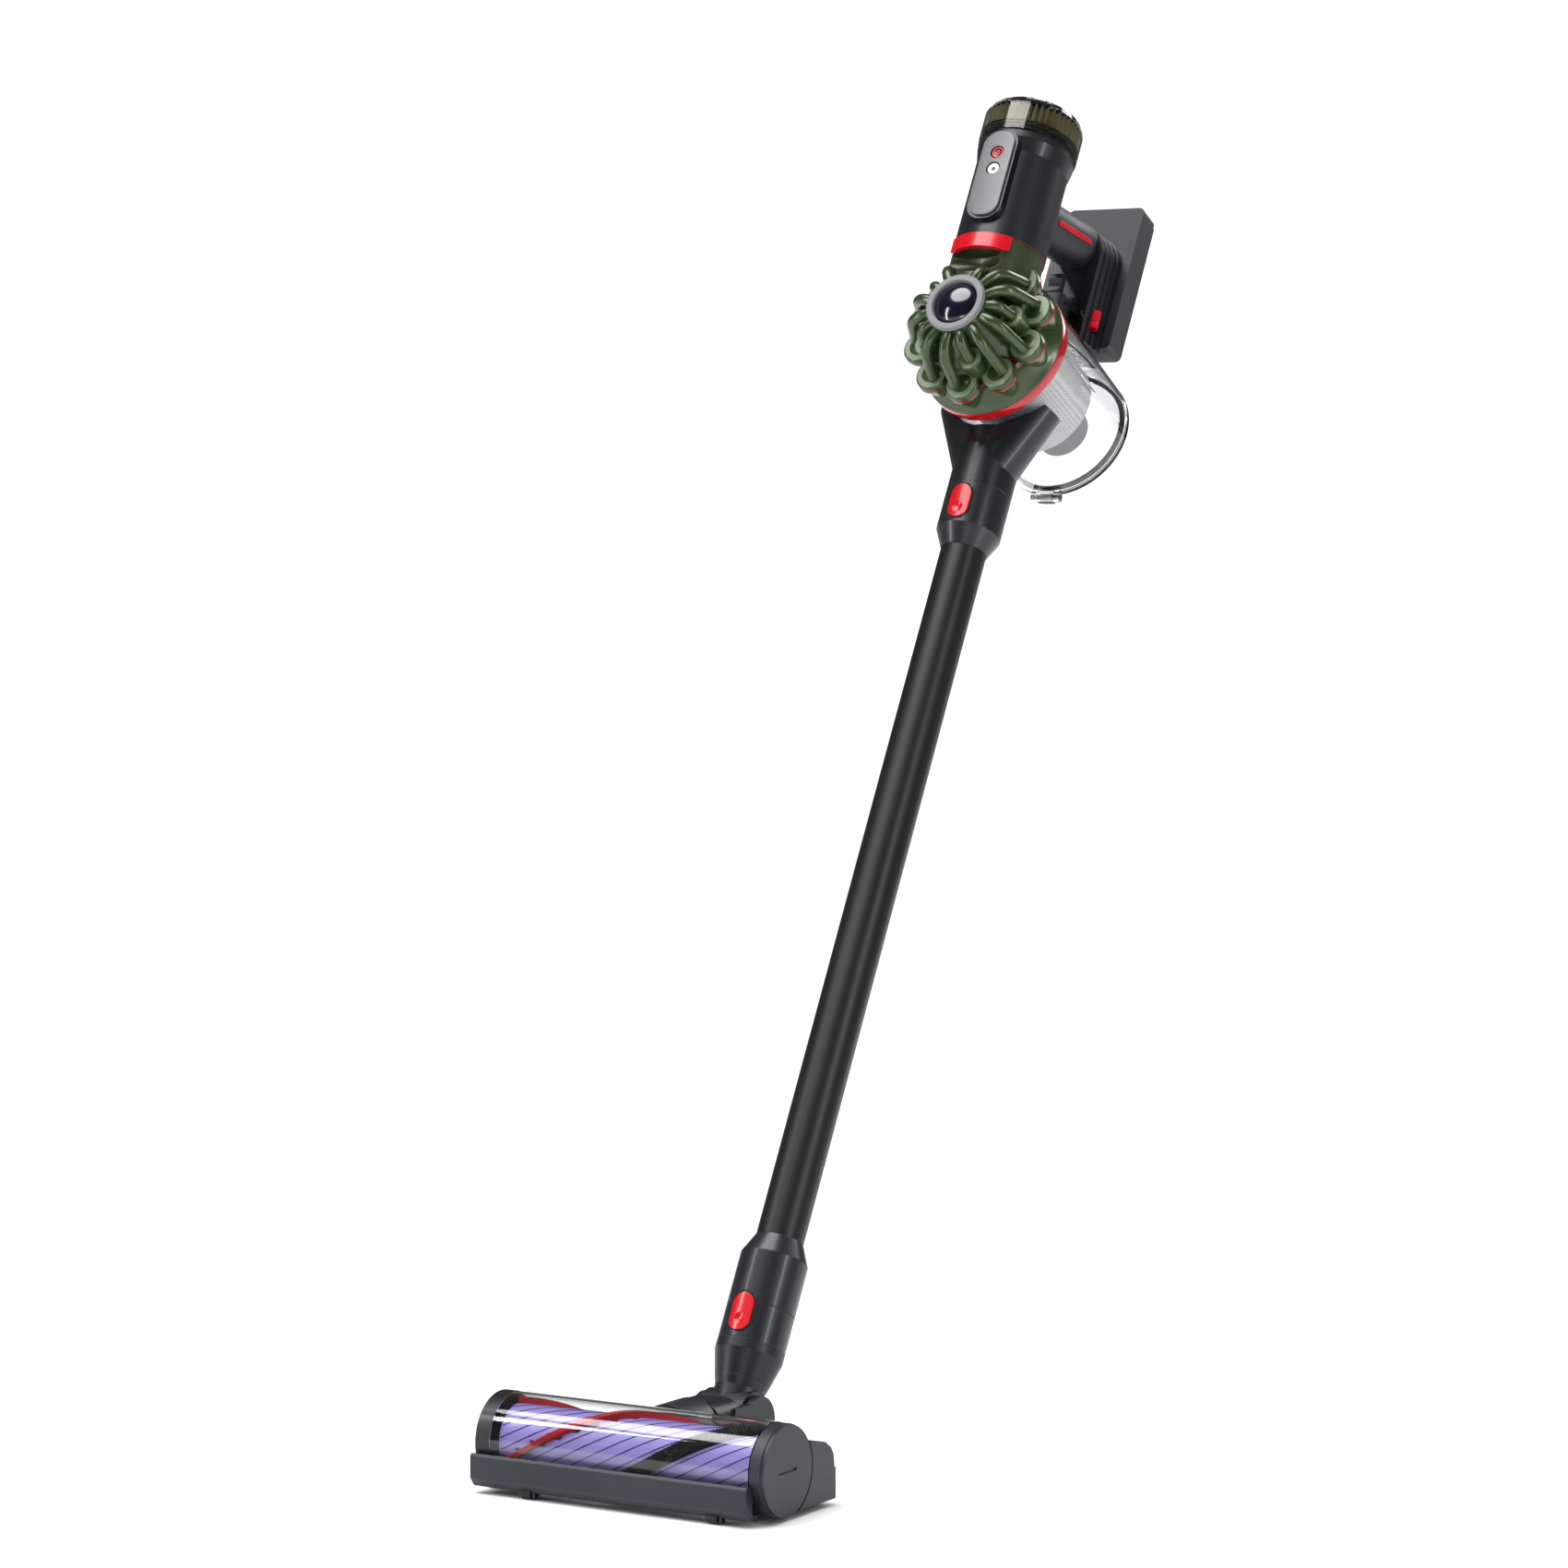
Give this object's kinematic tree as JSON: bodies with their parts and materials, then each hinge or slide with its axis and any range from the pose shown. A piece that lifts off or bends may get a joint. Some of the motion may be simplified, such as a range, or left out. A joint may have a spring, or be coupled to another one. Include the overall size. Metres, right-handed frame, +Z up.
{
  "type": "cordless stick vacuum",
  "caption": "Cordless stick vacuum: pistol-style grip and battery, cyclone pack with a clear dust bin, slim straight wand and a low floor head with a soft roller brush.",
  "frame": {"origin": "middle of the hand grip", "axes": "+Z up with the floor head flat on the floor, -Y the way the head travels, +X to the right of a user standing behind"},
  "size_m": [0.25, 0.7937, 1.0667],
  "materials": {
    "charcoal": "dark charcoal moulded plastic with a fine grain",
    "black_plastic": "black moulded plastic",
    "satin_black": "satin black coated tube",
    "cuff_grey": "dark grey moulded plastic",
    "neck_grey": "dark grey moulded plastic, slightly rough",
    "head_grey": "mid-dark grey moulded plastic",
    "clear_plastic": "clear polycarbonate",
    "smoky_clear": "smoky clear plastic",
    "filter_media": "cream pleated filter media",
    "motor_metal": "drawn steel motor can",
    "impeller_metal": "machined aluminium",
    "soft_rubber": "soft black rubber",
    "panel_grey": "light grey satin plastic",
    "red_plastic": "glossy red plastic",
    "ring_red": "translucent red plastic",
    "white_plastic": "white plastic",
    "olive_dark": "dark olive-green plastic",
    "olive_green": "olive-green glossy plastic",
    "olive_light": "lighter olive-green plastic",
    "silver_ring": "silver-grey coated ring",
    "filter_blue": "dark blue-black glossy plastic",
    "shroud_grey": "light grey perforated shroud",
    "cone_grey": "dark grey plastic",
    "grip_dark": "dark grained plastic",
    "battery_grey": "warm grey moulded plastic",
    "cell_wrap": "shrink-wrapped cells",
    "screw_steel": "dark steel screws",
    "copper_wire": "insulated copper wiring",
    "violet_core": "violet moulded plastic",
    "brush_hair": "soft nylon and carbon-fibre bristles",
    "belt_rubber": "toothed rubber belt",
    "roller_black": "black rubber-covered roller"
  },
  "bodies": {
    "handheld": {"motor_housing": "charcoal", "motor": "motor_metal", "motor_mount": "soft_rubber", "panel_surround": "black_plastic", "panel_cover": "panel_grey", "cyclone_saddle": "olive_dark", "cyclone_manifold": "olive_green", "upper_cyclones": "olive_light", "cyclone_gasket": "ring_red", "lower_cyclones": "olive_green", "hub_ring": "silver_ring", "bin_ring": "ring_red", "clear_bin": "clear_plastic", "door_pin": "screw_steel", "shroud": "shroud_grey", "dust_cone": "cone_grey", "wand_inlet": "charcoal", "top_cuff": "cuff_grey", "wand_tube": "satin_black", "wand_wiring": "copper_wire", "bottom_cuff": "cuff_grey", "handle_grip": "grip_dark", "grip_stripes": "red_plastic", "handle_bracket": "charcoal", "battery_case": "battery_grey", "battery_cells": "cell_wrap", "handle_screws": "screw_steel", "neck_cuff": "neck_grey", "elbow": "neck_grey"},
    "filter": {"filter_cap": "smoky_clear", "filter_element": "filter_media"},
    "fan": {"impeller": "impeller_metal"},
    "power_key": {"power_button": "red_plastic"},
    "mode_key": {"mode_button": "white_plastic"},
    "release_band": {"release_lever": "red_plastic"},
    "catch_rod": {"release_rod": "red_plastic"},
    "front_filter": {"prefilter": "filter_blue"},
    "door": {"bin_door": "clear_plastic", "door_seal": "soft_rubber"},
    "upper_release": {"top_button": "red_plastic"},
    "lower_release": {"bottom_button": "red_plastic"},
    "trigger_arm": {"trigger": "charcoal"},
    "latch": {"battery_latch": "red_plastic"},
    "neck": {"neck_tube": "neck_grey", "neck_bellows": "soft_rubber"},
    "head": {"head_base": "head_grey", "rear_cover": "head_grey", "head_window": "clear_plastic", "bumper": "head_grey", "left_cover": "charcoal", "head_motor": "motor_metal", "drive_belt": "belt_rubber"},
    "brush": {"brush_core": "violet_core", "brush_strips": "brush_hair"},
    "pulley": {"motor_pulley": "impeller_metal"},
    "coin_cap": {"end_cap": "head_grey"},
    "roller_front_left": {"front_left_roller": "roller_black"},
    "roller_front_right": {"front_right_roller": "roller_black"},
    "roller_rear_left": {"rear_left_roller": "roller_black"},
    "roller_rear_right": {"rear_right_roller": "roller_black"}
  },
  "joints": [
    {"name": "filter_turn", "type": "hinge", "parent": "handheld", "child": "filter", "pos_m": [0, -0.07044, 0.0304], "axis": [0, 0.4784, 0.8782], "range_deg": [0, 30]},
    {"name": "impeller_spin", "type": "hinge", "parent": "handheld", "child": "fan", "pos_m": [0, -0.07044, 0.0304], "axis": [0, 0.4784, 0.8782], "continuous": true},
    {"name": "power_press", "type": "slide", "parent": "handheld", "child": "power_key", "axis": [0, 0.8782, -0.4784], "range_m": [0, 0.0015], "stiffness_N_per_m": 600, "springref_m": -0.001},
    {"name": "mode_press", "type": "slide", "parent": "handheld", "child": "mode_key", "axis": [0, 0.8782, -0.4784], "range_m": [0, 0.0015], "stiffness_N_per_m": 600, "springref_m": -0.001},
    {"name": "release_slide", "type": "slide", "parent": "handheld", "child": "release_band", "axis": [0, 0.8782, -0.4784], "range_m": [0, 0.005], "stiffness_N_per_m": 500, "springref_m": -0.002},
    {"name": "catch_rod_slide", "type": "slide", "parent": "handheld", "child": "catch_rod", "axis": [0, 0.8782, -0.4784], "range_m": [0, 0.005]},
    {"name": "prefilter_slide", "type": "slide", "parent": "handheld", "child": "front_filter", "axis": [0, -0.8782, 0.4784], "range_m": [0, 0.055]},
    {"name": "door_hinge", "type": "hinge", "parent": "handheld", "child": "door", "pos_m": [0, -0.01703, -0.22064], "axis": [-1, 0, 0], "range_deg": [0, 100]},
    {"name": "top_button_press", "type": "slide", "parent": "handheld", "child": "upper_release", "axis": [0, 0.8782, -0.4784], "range_m": [0, 0.0025], "stiffness_N_per_m": 800, "springref_m": -0.001},
    {"name": "bottom_button_press", "type": "slide", "parent": "handheld", "child": "lower_release", "axis": [0, 0.8782, -0.4784], "range_m": [0, 0.0025], "stiffness_N_per_m": 800, "springref_m": -0.001},
    {"name": "trigger_pull", "type": "hinge", "parent": "handheld", "child": "trigger_arm", "pos_m": [0, -0.00899, -0.05831], "axis": [-1, 0, 0], "range_deg": [0, 8], "stiffness_Nm_per_rad": 0.6, "springref_deg": -8.59},
    {"name": "latch_slide", "type": "slide", "parent": "handheld", "child": "latch", "axis": [0, -0.4784, -0.8782], "range_m": [0, 0.003], "stiffness_N_per_m": 800, "springref_m": -0.001},
    {"name": "neck_pitch", "type": "hinge", "parent": "handheld", "child": "neck", "pos_m": [0, -0.5138, -0.91807], "axis": [1, 0, 0], "range_deg": [-25, 58]},
    {"name": "neck_swivel", "type": "hinge", "parent": "neck", "child": "head", "pos_m": [0, -0.5698, -0.91807], "axis": [0, 1, 0], "range_deg": [-60, 60]},
    {"name": "brush_spin", "type": "hinge", "parent": "head", "child": "brush", "pos_m": [0, -0.6368, -0.92157], "axis": [1, 0, 0], "continuous": true},
    {"name": "motor_pulley_spin", "type": "hinge", "parent": "head", "child": "pulley", "pos_m": [-0.117, -0.5868, -0.93607], "axis": [1, 0, 0], "continuous": true},
    {"name": "end_cap_turn", "type": "hinge", "parent": "head", "child": "coin_cap", "pos_m": [0.117, -0.6368, -0.92157], "axis": [1, 0, 0], "range_deg": [0, 90]},
    {"name": "roller_front_left_spin", "type": "hinge", "parent": "head", "child": "roller_front_left", "pos_m": [-0.078, -0.6703, -0.95357], "axis": [1, 0, 0], "continuous": true},
    {"name": "roller_front_right_spin", "type": "hinge", "parent": "head", "child": "roller_front_right", "pos_m": [0.084, -0.6703, -0.95357], "axis": [1, 0, 0], "continuous": true},
    {"name": "roller_rear_left_spin", "type": "hinge", "parent": "head", "child": "roller_rear_left", "pos_m": [-0.041, -0.5798, -0.95107], "axis": [1, 0, 0], "continuous": true},
    {"name": "roller_rear_right_spin", "type": "hinge", "parent": "head", "child": "roller_rear_right", "pos_m": [0.041, -0.5798, -0.95107], "axis": [1, 0, 0], "continuous": true}
  ],
  "couplings": [
    {"joint": "catch_rod_slide", "follows": "release_slide", "ratio": 1},
    {"joint": "motor_pulley_spin", "follows": "brush_spin", "ratio": 2.5429}
  ]
}
